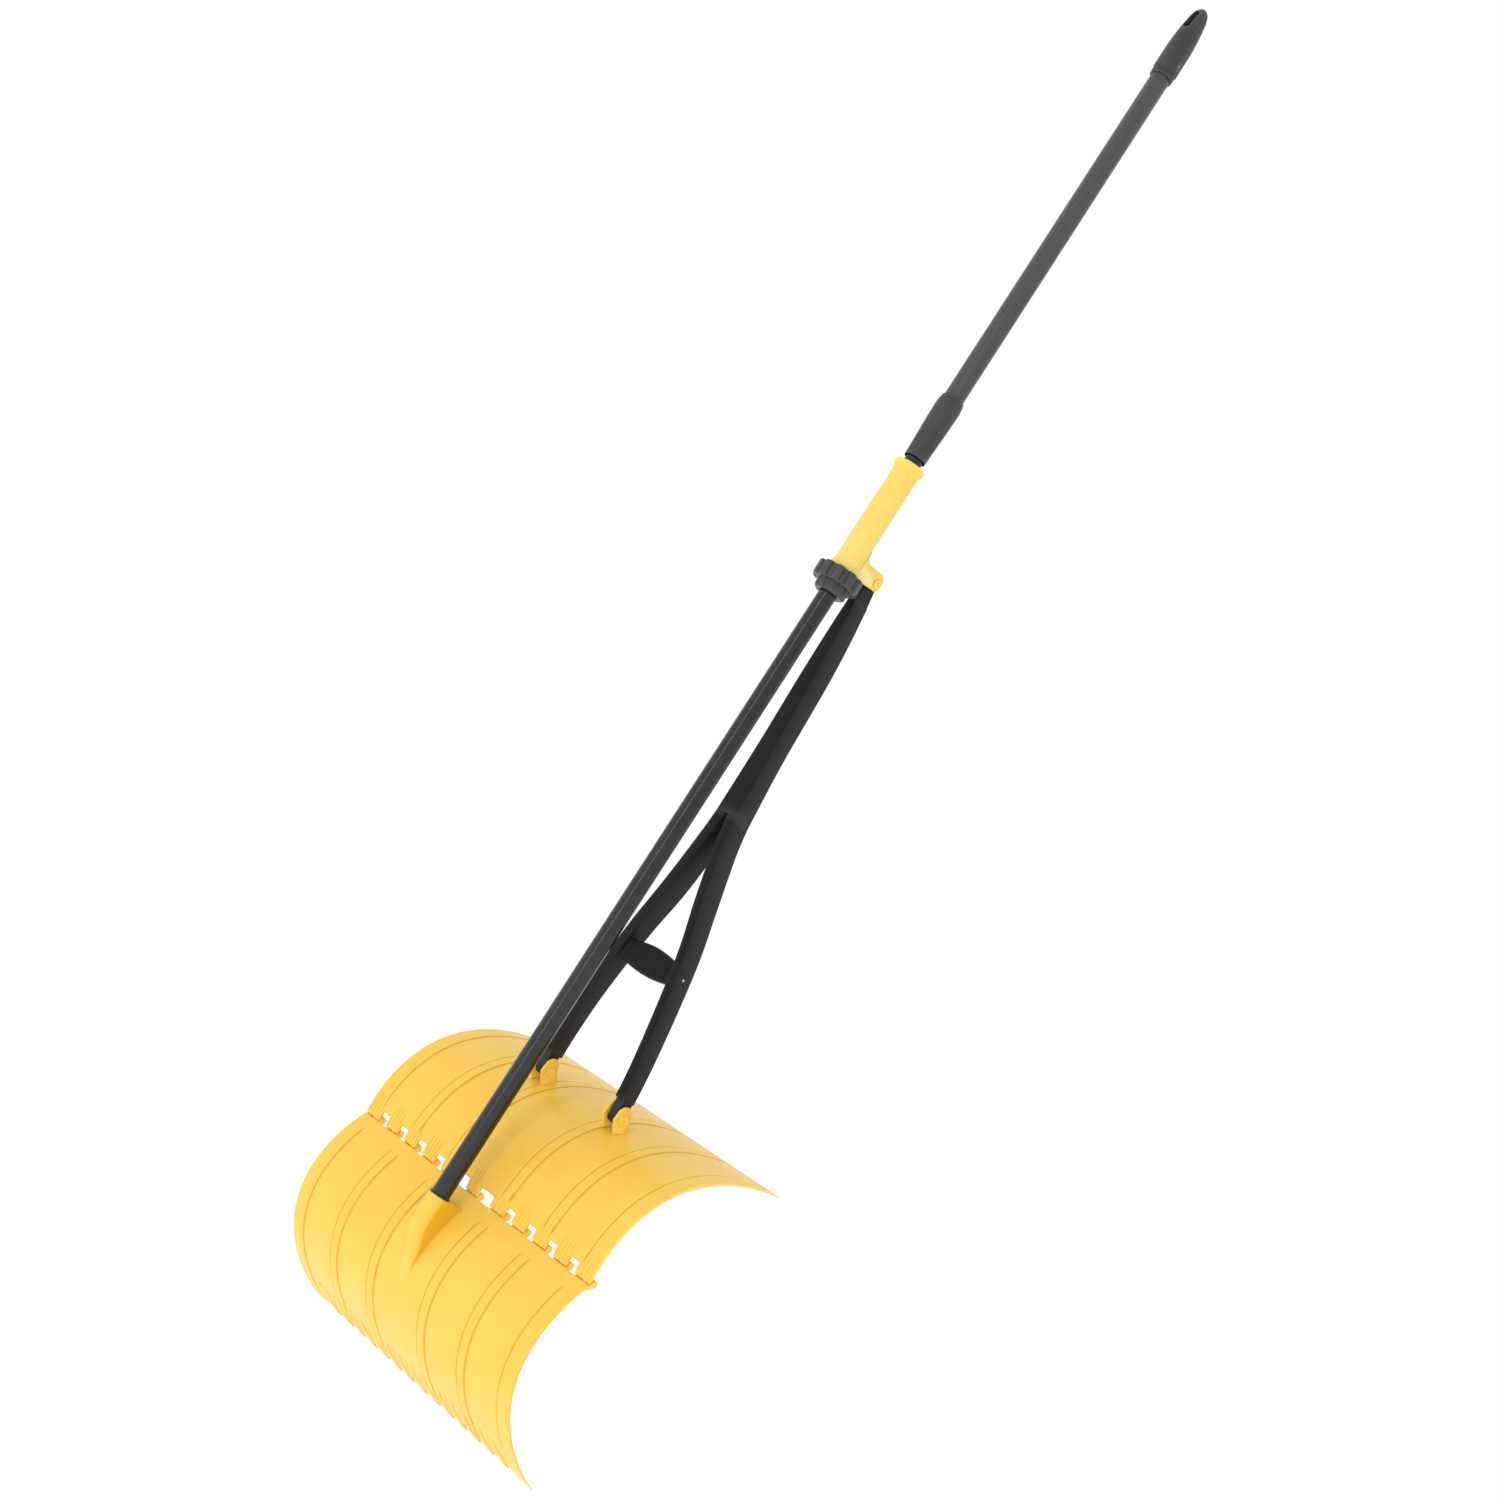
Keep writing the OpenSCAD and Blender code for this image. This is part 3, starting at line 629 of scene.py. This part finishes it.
def front_jaw_sheet():
    profile = Profile(FRONT_CTRL, 1)
    teeth_half = TOOTH_COUNT / 2 * TOOTH_PITCH

    def end(x):
        if abs(x) <= teeth_half:
            u = tooth_phase(x)
            return profile.length - TOOTH_L * float(smoothstep((u - 0.34) / 0.4)) - 2.2 * min(u, 0.6)**2
        u = (abs(x) - teeth_half) / (JAW_HALF - teeth_half)
        return profile.length - TOOTH_L * float(1 - u)**1.6

    def flute_share(x, s):
        """1 in the fine flutes that run up from the gaps and the flanks of the teeth."""
        up = profile.length - s
        if abs(x) > teeth_half:
            return np.zeros_like(s)
        u = tooth_phase(x)
        gap = band(u, 1.0, 0.13, 0.08) * smoothstep((42 - up) / 7)
        flank = band(u, 0.5, 0.08, 0.08) * smoothstep((60 - up) / 9)
        return (gap + flank) * smoothstep((up - 1) / 3)

    def lift(x, s):
        up = profile.length - s
        total = ribs(x, s, profile.length) - FLUTE_DEPTH * flute_share(x, s)
        if abs(x) <= teeth_half:
            crown = smoothstep((0.5 - tooth_phase(x)) / 0.3) * smoothstep((52 - up) / 10)
            total = total + TOOTH_CROWN * crown * smoothstep((up - 1) / 4)
        return total

    # Painted shade: darker colour in the rib grooves and in the flutes at the teeth.
    def lines(x, s):
        return np.clip(line_share(x) * rib_fade(s, profile.length) + flute_share(x, s), 0, 1)

    marks = rib_marks()
    for k in range(TOOTH_COUNT + 1):
        x = (k - TOOTH_COUNT / 2) * TOOTH_PITCH
        marks += [x + d * TOOTH_PITCH / 22 for d in range(0, 22) if k < TOOTH_COUNT]
    marks += [s * (teeth_half + d) for d in range(0, 33, 3) for s in (-1, 1)]
    return profile, jaw_skin(profile, columns(marks, JAW_HALF), lambda x: 0.0, end, lift, lines)


def rear_jaw_sheet():
    profile = Profile(REAR_CTRL, -1, REAR_LEAD)
    cut = REAR_LEAD + WINDOW_CLEAR - 4

    def in_window(x):
        return max(band(abs(x), c, h, 0.5) for c, h in zip(WINDOW_X, WINDOW_HALF))

    def start(x):
        return cut * float(in_window(x)) + 0.4

    def flute_share(x, s):
        for a, b in window_groups():
            if a < x < b:
                u = (x - a) / (b - a) * 4
                flute = 1 - smoothstep(abs((u % 1) - 0.5) / 0.16)
                return flute * smoothstep((32 - s) / 9) * smoothstep((s - 2) / 3)
        return np.zeros_like(s)

    def lift(x, s):
        return ribs(x, s, profile.length) + FLUTE_DEPTH * flute_share(x, s)

    # Painted shade: darker colour in the rib grooves, and at 0.7 strength in the flutes by the knuckles.
    def lines(x, s):
        return np.clip(line_share(x) * rib_fade(s, profile.length) + 0.7 * flute_share(x, s), 0, 1)

    marks = rib_marks()
    for c, h in zip(WINDOW_X, WINDOW_HALF):
        for e in (c - h, c + h):
            marks += [s * (e + d) for d in (-0.35, 0, 0.35) for s in (-1, 1)]
    for a, b in window_groups():
        marks += [a + (b - a) / 4 * (k + 0.5 + d)
                  for k in range(4) for d in (-0.16, -0.08, 0, 0.08, 0.16)]
    return profile, jaw_skin(profile, columns(marks, JAW_HALF), start, lambda x: profile.length,
                             lift, lines)


def knuckles(which, foot, sheet_from):
    """Barrels on the hinge line, each with a tab that runs to the sheet."""
    parts = []
    up = math.copysign(1, foot[1])
    outline = fillet([(-KNUCKLE_R + 0.1, 0), (0, -up * KNUCKLE_R / 2), (0, up * KNUCKLE_R * 0.8),
                      (sheet_from[0] + 2.5, sheet_from[1] + up * 2),
                      (sheet_from[0], sheet_from[1] + up * 2), (foot[0], foot[1])], 0.8, 3)
    for a, b in knuckle_spans(which):
        parts.append(round_bar(KNUCKLE_R, a, b, 0, 0, 0.7))
        parts.append(slab(outline, a + 0.1, b - 0.1, 0.4))
    return parts


BOSS_HOLD = 0.30             # share of the boss over which it follows the tube
BOSS_TAPER = 0.42


def socket_boss(profile):
    """Fairing round the foot of the pole: it hugs the tube and runs out on the face of the jaw."""
    face_z, face_y = profile.curve[::-1, 1], profile.curve[::-1, 0]
    heights = [SOCKET_MOUTH, SOCKET_MOUTH - 0.4, SOCKET_MOUTH - 1.4]
    heights += list(np.linspace(SOCKET_MOUTH - 4, SOCKET_TIP, 30))
    loops, shades = [], []
    for i, z in enumerate(heights):
        run = (SOCKET_MOUTH - z) / (SOCKET_MOUTH - SOCKET_TIP)
        inset = (0.8, 0.25, 0)[i] if i < 3 else 0
        face = float(np.interp(z, face_z, face_y))
        front = POLE_Y - SOCKET_HALF
        fade = float(smoothstep(max(0.0, run - BOSS_HOLD) / (1 - BOSS_HOLD)))
        drop = max(face - front, 0) * (1 - fade) + 0.02
        front = face - drop + inset
        half = (SOCKET_HALF - inset) * (1 - BOSS_TAPER * run**2)
        back = face + 1.0 if z < SOCKET_MOUTH - 1.4 else max(face + 1.0, -20)
        power = 3.4 - 1.2 * run
        centre = front + min(SOCKET_HALF, back - front)
        loop = []
        for a in np.linspace(-math.pi / 2, math.pi / 2, 33):
            c, sn = abs(math.cos(a)), math.sin(a)
            if drop > SOCKET_HALF:
                loop.append((half * sn, centre - (centre - front) * c, z))
            else:
                loop.append((half * math.copysign(abs(sn)**(2 / power), sn),
                             back - (back - front) * c**(2 / power), z))
        loop += [(half, back + 0.01, z), (-half, back + 0.01, z)]
        # Painted shade: the sides of the boss get the darker line colour, as if turned away from the
        # light.
        shades += [0.7 * float(smoothstep((abs(x) / half - 0.93) / 0.06)) for x, _, _ in loop]
        loops.append(loop)
    return (*loft(loops), shades)


def bracket(x):
    """Two ears on the rear jaw that hold the pin of one yoke leg."""
    y, z = LEG_PIN.y, LEG_PIN.z
    outline = fillet([(y + dy, z + dz) for dy, dz in EAR_OUTLINE], [0.3, 2.5, 4, 4, 4, 4, 3, 0.3], 5)
    parts = []
    for s in (-1, 1):
        a, b = x + s * EAR_GAP, x + s * (EAR_GAP + EAR_T)
        parts.append(slab(outline, min(a, b), max(a, b), 0.9))
    return parts


def build_jaws():
    profile, sheet = front_jaw_sheet()
    parts = [sheet, socket_boss(profile)] + knuckles((0, 2), (-9.2, -5), (-12.6, -8.6))
    make_object("front_jaw", parts, "lower_pole", YELLOW, ["front_scoop"])
    profile, sheet = rear_jaw_sheet()
    parts = [sheet] + knuckles((1,), (-9.4, 3.4), (REAR_CTRL[0][0] + 0.1, REAR_CTRL[0][1] + 7))
    for s in (-1, 1):
        parts += bracket(s * LEG_X)
    make_object("rear_jaw", parts, "rear_jaw", YELLOW, ["rear_scoop"])


# ---------------------------------------------------------------- tubes

def build_tubes():
    bore = LOWER_R - 1.2
    bottom, top = (p.z for p in node_span("lower_tube"))
    outline = [(LOWER_R, bottom), (LOWER_R, top), (bore, top), (bore, bottom)]
    foot = ring_profile([(LOWER_R - 0.2, SOCKET_MOUTH + 0.1), (LOWER_R + 1.3, SOCKET_MOUTH + 0.1),
                         (LOWER_R + 1.3, SOCKET_MOUTH + 2.2), (LOWER_R - 0.2, SOCKET_MOUTH + 3)], 0.5)
    make_object("lower_pole_tube", [lathe(ring_profile(outline, 0.3), 96), lathe(foot, 72)],
                "lower_pole", BLACK_STEEL, ["lower_tube"])

    low, high = (p.z for p in node_span("upper_tube"))
    inner = LOWER_R + TUBE_GAP

    def flutes(r, z, a):
        if r < inner + 0.5:
            return r
        wave = (a * TUBE_FLUTES / (2 * math.pi) - 0.25) % 1
        return r - TUBE_FLUTE * float(smoothstep((0.13 - abs(wave - 0.5)) / 0.09))

    tube = ring_profile([(UPPER_R, low), (UPPER_R, high), (inner, high), (inner, low)], 0.25)
    make_object("upper_pole_tube", [lathe(tube, 216, flutes)], "upper_pole", GREY_STEEL,
                ["upper_tube"])


# ---------------------------------------------------------------- grip and collar

def build_grip():
    bore = LOWER_R + TUBE_GAP
    rings = []
    for k in range(RING_COUNT):
        z = GRIP_BOTTOM + 20 + k * RING_PITCH
        rings += [(GRIP_R, z - 1.6), (GRIP_R - 0.18, z - 0.6),
                  (GRIP_R - 0.18, z + 0.6), (GRIP_R, z + 1.6)]
    outline = ([(bore, SPIGOT_BOTTOM), (SPIGOT_R, SPIGOT_BOTTOM), (SPIGOT_R, GRIP_BOTTOM),
                (18, GRIP_BOTTOM), (18, GRIP_BOTTOM + 7), (GRIP_R, GRIP_BOTTOM + 11)] + rings
               + [(GRIP_R + 0.1, GRIP_TOP - 12), (GRIP_R + 0.9, GRIP_TOP - 7.5),
                  (FLANGE_R, GRIP_TOP - 3), (FLANGE_R, GRIP_TOP), (bore, GRIP_TOP)])

    def ridge(r, z, a):
        """Low moulded ridge along each side of the grip."""
        if r < GRIP_R - 1 or z > GRIP_TOP - 12 or z < GRIP_BOTTOM + 10:
            return r
        off = abs((math.degrees(a) + 12 + 90) % 180 - 90)
        return r + RIDGE_RISE * float(smoothstep((5 - off) / 2.5))

    body = lathe(ring_profile(outline, 0.9), 144, ridge)
    y, z = GRIP_PIN.y, GRIP_PIN.z
    inside = POLE_Y + 12.6
    cheek = fillet([(inside, 812), (inside, 850), (-30, 838), (-26, 834.5), (y + 1, 838), (y + 8.4, 832.5),
                    (y + 9, 822), (y + 6, 816.5), (-20, 812)], [0.5, 1, 6, 6, 5, 5, 4, 5, 3], 5)
    parts = [body]
    for s in (-1, 1):
        a, b = s * CHEEK_GAP, s * (CHEEK_GAP + CHEEK_T)
        parts.append(slab(cheek, min(a, b), max(a, b), 0.8))
    web = fillet([(inside, 833.5), (inside, 848), (-30, 837), (-26, 833.7), (y - 2, 836.9), (y - 8, 834.4),
                  (-14, 833.2)], 0.6, 3)
    parts.append(slab(web, -CHEEK_GAP - 1, CHEEK_GAP + 1, 0.2))
    make_object("hand_grip", parts, "grip", GRIP_YELLOW, ["slide_grip"])


def build_collar():
    bore = LOWER_R + TUBE_GAP
    seat = SPIGOT_R + TUBE_GAP

    def lobes(r, z, a):
        if r < seat + 1.5:
            return r
        wave = (a * LOBES / (2 * math.pi)) % 1
        dip = float(smoothstep((0.30 - min(wave, 1 - wave)) / 0.13))
        depth = LOBE_DIPS[z > COLLAR_STEP + 0.1]
        return r - depth * dip * float(smoothstep((r - 17.5) / 2))

    outline = [(bore, COLLAR_BOTTOM), (COLLAR_LOW_R - 3, COLLAR_BOTTOM),
               (COLLAR_LOW_R, COLLAR_BOTTOM + 3), (COLLAR_LOW_R, COLLAR_STEP),
               (COLLAR_R - 2, COLLAR_STEP + 0.2), (COLLAR_R, COLLAR_STEP + 2.2),
               (COLLAR_R, COLLAR_TOP - 1.2), (COLLAR_R - 1.2, COLLAR_TOP), (seat, COLLAR_TOP),
               (seat, COLLAR_BOTTOM + 3), (bore, COLLAR_BOTTOM + 3)]
    make_object("grip_collar", [lathe(ring_profile(outline, 0.8), 240, lobes)], "collar", BLACK_PLASTIC,
                ["lock_collar"])


# ---------------------------------------------------------------- yoke

def channel(z, x0, x1, front, back, open_depth, edge=1.3, steps=4):
    """Section of a channel with rounded outer corners, open at the back. x0 < x1."""
    wall = YOKE_WALL
    ring = []
    for cx, cy, a0 in ((x0 + edge, front + edge, math.pi), (x1 - edge, front + edge, 1.5 * math.pi)):
        for a in np.linspace(a0, a0 + math.pi / 2, steps + 1):
            ring.append((cx + edge * math.cos(a), cy + edge * math.sin(a), z))
    lip = 0.5
    ring += [(x1, back - lip, z), (x1 - lip, back, z),
             (x1 - wall + lip, back, z), (x1 - wall, back - lip, z)]
    floor = back - lip - max(open_depth, 0.05)
    round_in = min(0.8, open_depth / 2 + 0.02)
    ring += [(x1 - wall, floor + round_in, z), (x1 - wall - round_in, floor, z),
             (x0 + wall + round_in, floor, z), (x0 + wall, floor + round_in, z)]
    ring += [(x0 + wall, back - lip, z), (x0 + wall - lip, back, z),
             (x0 + lip, back, z), (x0, back - lip, z)]
    return ring


def yoke_leg(side):
    top = FORK[-1][0]
    cavity_from, cavity_to = LEG_HOLLOW
    heights = [FOOT_Z, FOOT_Z + 0.5, FOOT_Z + 1.3] + list(np.linspace(FOOT_Z + 4, cavity_from - 2, 6))
    heights += [cavity_from, cavity_from + 0.6] + list(np.linspace(cavity_from + 8, cavity_to - 8, 46))
    heights += [cavity_to - 0.6, cavity_to, top]
    loops = []
    for i, z in enumerate(heights):
        outer, inner = table(FORK, 1, z), table(FORK, 2, z)
        front, back = table(SIDE, 1, z), table(SIDE, 2, z)
        inset = (1.0, 0.3, 0)[i] if i < 3 else 0
        depth = back - front - YOKE_WALL - 0.5 if cavity_from + 0.3 < z < cavity_to - 0.3 else 0.05
        xs = sorted((side * (outer - inset), side * (inner + inset)))
        loops.append(channel(z, xs[0], xs[1], front + inset, back - inset, depth))
    return loft(loops)


def yoke_stem():
    bottom, top = 506, 795
    cavity_from, cavity_to = STEM_HOLLOW
    heights = [bottom] + list(np.linspace(bottom + 6, cavity_from - 1, 6))
    heights += [cavity_from, cavity_from + 0.6] + list(np.linspace(cavity_from + 8, cavity_to - 8, 34))
    heights += [cavity_to - 0.6, cavity_to]
    heights += list(np.linspace(cavity_to + 4, top, 6))
    loops = []
    for z in heights:
        half = table(STEM, 1, z) - (0.12 if z < 521 else 0)
        front, back = table(SIDE, 1, z), table(SIDE, 2, z)
        depth = back - front - YOKE_WALL - 0.5 if cavity_from + 0.3 < z < cavity_to - 0.3 else 0.05
        loops.append(channel(z, -half, half, front, back, depth))
    last = loops[-1]
    middle_y = np.mean(last, axis=0)[1]
    for inset, rise in ((0.3, 1.0), (1.0, 1.7)):
        loops.append([(x * (1 - inset / 6.5), y + (middle_y - y) * inset / 12, top + rise)
                      for x, y, _ in last])
    return loft(loops)


def top_eye():
    """Tongue at the top of the stem, notched so that it can leave its pin."""
    y, z = GRIP_PIN.y, GRIP_PIN.z
    outline = [(y + EYE_R * math.cos(a), z + EYE_R * math.sin(a))
               for a in np.linspace(-0.25, 0.60 * math.pi, 16)]
    outline += [(y + PIN_CLEAR * math.cos(a), z + PIN_CLEAR * math.sin(a))
                for a in np.linspace(0.5 * math.pi, -0.42 * math.pi, 12)]
    outline += [(-6.2, 812), (-7.6, 795), (16, 795)]
    return slab(outline, -TONGUE_HALF, TONGUE_HALF, 0.5)


def leg_eye(x):
    y, z = LEG_PIN.y, LEG_PIN.z
    outline = [(y + EYE_R * math.cos(a), z + EYE_R * math.sin(a))
               for a in np.linspace(math.pi, 2 * math.pi, 18)]
    outline += [(59, 178), (41.5, 178)]
    return slab(outline, x - TONGUE_HALF, x + TONGUE_HALF, 0.7)


def build_yoke():
    parts = [yoke_leg(1), yoke_leg(-1), yoke_stem(), top_eye(), leg_eye(LEG_X), leg_eye(-LEG_X)]
    make_object("yoke_fork", parts, "yoke_body", YOKE_BLACK, ["yoke"])
    loops = []
    for x in np.linspace(-BRACE_HALF, BRACE_HALF, 25):
        half = BRACE_RISE - (BRACE_ARC - math.sqrt(BRACE_ARC**2 - x**2))
        corner_y, corner_z = BRACE_T / 2 - BRACE_CORNER, half - BRACE_CORNER
        ring = []
        for cy, cz, a0 in ((corner_y, corner_z, 0), (-corner_y, corner_z, 0.5),
                           (-corner_y, -corner_z, 1), (corner_y, -corner_z, 1.5)):
            for a in np.linspace(a0 * math.pi, (a0 + 0.5) * math.pi, 6):
                dz = cz + BRACE_CORNER * math.sin(a)
                lean = -math.copysign(1, x) * dz * BRACE_LEAN * (abs(x) / BRACE_HALF)
                ring.append((x + lean, BRACE_Y + cy + BRACE_CORNER * math.cos(a), BRACE_Z + dz))
        loops.append(ring)
    make_object("yoke_brace", [loft(loops)], "yoke_body", YOKE_BLACK, ["cross_brace"])


# ---------------------------------------------------------------- twist lock

def build_sleeve():
    def flats(r, z, a):
        """Four slight flats round the outside of the sleeve."""
        return r - 0.22 * max(0.0, math.cos(4 * a))**2 if r > 13.3 and z < SLEEVE_TOP - 4 else r

    height = SLEEVE_TOP - SLEEVE_BOTTOM
    outline = [(13.1, 0), (13.5, 0), (13.9, 13), (14.4, 26), (15.1, 43), (15.55, 58), (15.75, 70),
               (15.7, 76), (14.8, 82), (14.2, height), (13.05, height), (13.05, 72.5), (13.95, 71.5),
               (13.95, 35.5), (13.1, 35)]
    outline = [(r, z + SLEEVE_BOTTOM) for r, z in outline]
    radii = [0.2, 0.4, 8, 8, 10, 10, 6, 8, 6, 0.4, 0.2, 0.2, 0.2, 0.2, 0.2]
    make_object("twist_sleeve", [lathe(ring_profile(outline, radii), 96, flats)], "sleeve", GREY_PLASTIC,
                ["lock_sleeve"])


def paint_cad_nodes():
    """The end cap and the small pieces keep their CAD shape and get a finished material."""
    looks = {STEEL: ["hinge_pins", "socket_screw", "brace_screws", "cap_pin"],
             YELLOW: ["grip_pin", "grip_pin_clips", "leg_pins", "leg_pin_clips"],
             BLACK_PLASTIC: ["tube_plug"],
             GREY_PLASTIC: ["guide_bush", "clamp_ring", "end_cap", "collet"]}
    for material, names in looks.items():
        for name in names:
            mesh = frame["nodes"][name].data
            mesh.materials.clear()
            mesh.materials.append(material)


# ---------------------------------------------------------------- studio

FLOOR_DROP = 0.45            # the object hangs clear of the floor, metres
FLOOR_REACH = 600
FLOOR_GLOW = 0.35
WORLD_LEAN = (0.72, -0.12, 0.68)          # the world is slightly darker towards this side
WORLD_SHADES = [(0.12, 1.0), (0.70, 0.9)]
JAWS_MIDDLE = Vector((0, 0.06, -1.55))

LENS_MM = 48.7
SENSOR_MM = 36
CAMERA_PLACE = (1.5589, -1.6382, -1.4022)
CAMERA_RIGHT = (0.672, 0.512, 0.534)
CAMERA_FORWARD = (-0.674, 0.722, 0.157)


def area_light(name, azimuth, elevation, distance, size, power):
    """Soft box aimed at the middle of the jaws, from a direction in degrees."""
    light = bpy.data.lights.new(name, "AREA")
    light.shape = "RECTANGLE"
    light.size, light.size_y = size
    light.energy = power
    lamp = bpy.data.objects.new(name, light)
    a, e = math.radians(azimuth), math.radians(elevation)
    towards = Vector((math.cos(a) * math.cos(e), math.sin(a) * math.cos(e), math.sin(e)))
    lamp.location = JAWS_MIDDLE + towards * distance
    lamp.rotation_euler = (-towards).to_track_quat("-Z", "Y").to_euler()
    bpy.context.scene.collection.objects.link(lamp)


def build_studio():
    """Plain white floor and world, and one soft strip light."""
    floor_z = CAD_BOX[0].z - FLOOR_DROP
    material, nodes, links, bsdf = new_material("studio_white")
    bsdf.inputs["Base Color"].default_value = (0.92, 0.92, 0.92, 1)
    bsdf.inputs["Roughness"].default_value = 1.0
    bsdf.inputs["Specular IOR Level"].default_value = 0.0
    bsdf.inputs["Emission Color"].default_value = (1, 1, 1, 1)
    bsdf.inputs["Emission Strength"].default_value = FLOOR_GLOW
    mesh = bpy.data.meshes.new("floor")
    reach = FLOOR_REACH
    mesh.from_pydata([(-reach, -reach, floor_z), (reach, -reach, floor_z), (reach, reach, floor_z),
                      (-reach, reach, floor_z)], [], [(0, 1, 2, 3)])
    mesh.materials.append(material)
    floor = bpy.data.objects.new("floor", mesh)
    bpy.context.scene.collection.objects.link(floor)

    world = bpy.data.worlds.new("studio")
    bpy.context.scene.world = world
    world.use_nodes = True
    nodes, links = world.node_tree.nodes, world.node_tree.links
    lean = nodes.new("ShaderNodeVectorMath")
    lean.operation = "DOT_PRODUCT"
    lean.inputs[1].default_value = Vector(WORLD_LEAN).normalized()
    links.new(nodes.new("ShaderNodeTexCoord").outputs["Generated"], lean.inputs[0])
    links.new(ramp(nodes, links, lean.outputs["Value"], WORLD_SHADES),
              nodes["Background"].inputs["Color"])
    area_light("key", azimuth=-80, elevation=12, distance=3.0, size=(0.12, 2.4), power=9)


def build_camera():
    """The viewing angle: a low, rolled view from the front right of the jaws."""
    data = bpy.data.cameras.new("view")
    data.lens = LENS_MM
    data.sensor_width = SENSOR_MM
    data.clip_end = 2000
    camera = bpy.data.objects.new("view", data)
    right, forward = Vector(CAMERA_RIGHT), Vector(CAMERA_FORWARD)
    up = right.cross(forward).normalized()
    right = forward.cross(up).normalized()
    basis = Matrix((right, up, -forward.normalized())).transposed().to_4x4()
    camera.matrix_world = Matrix.Translation(CAMERA_PLACE) @ basis
    bpy.context.scene.collection.objects.link(camera)
    bpy.context.scene.camera = camera


build_camera()
build_studio()
build_jaws()
build_tubes()
build_grip()
build_collar()
build_yoke()
build_sleeve()
paint_cad_nodes()
bpy.context.scene.view_settings.view_transform = "Standard"

bpy.context.view_layer.update()
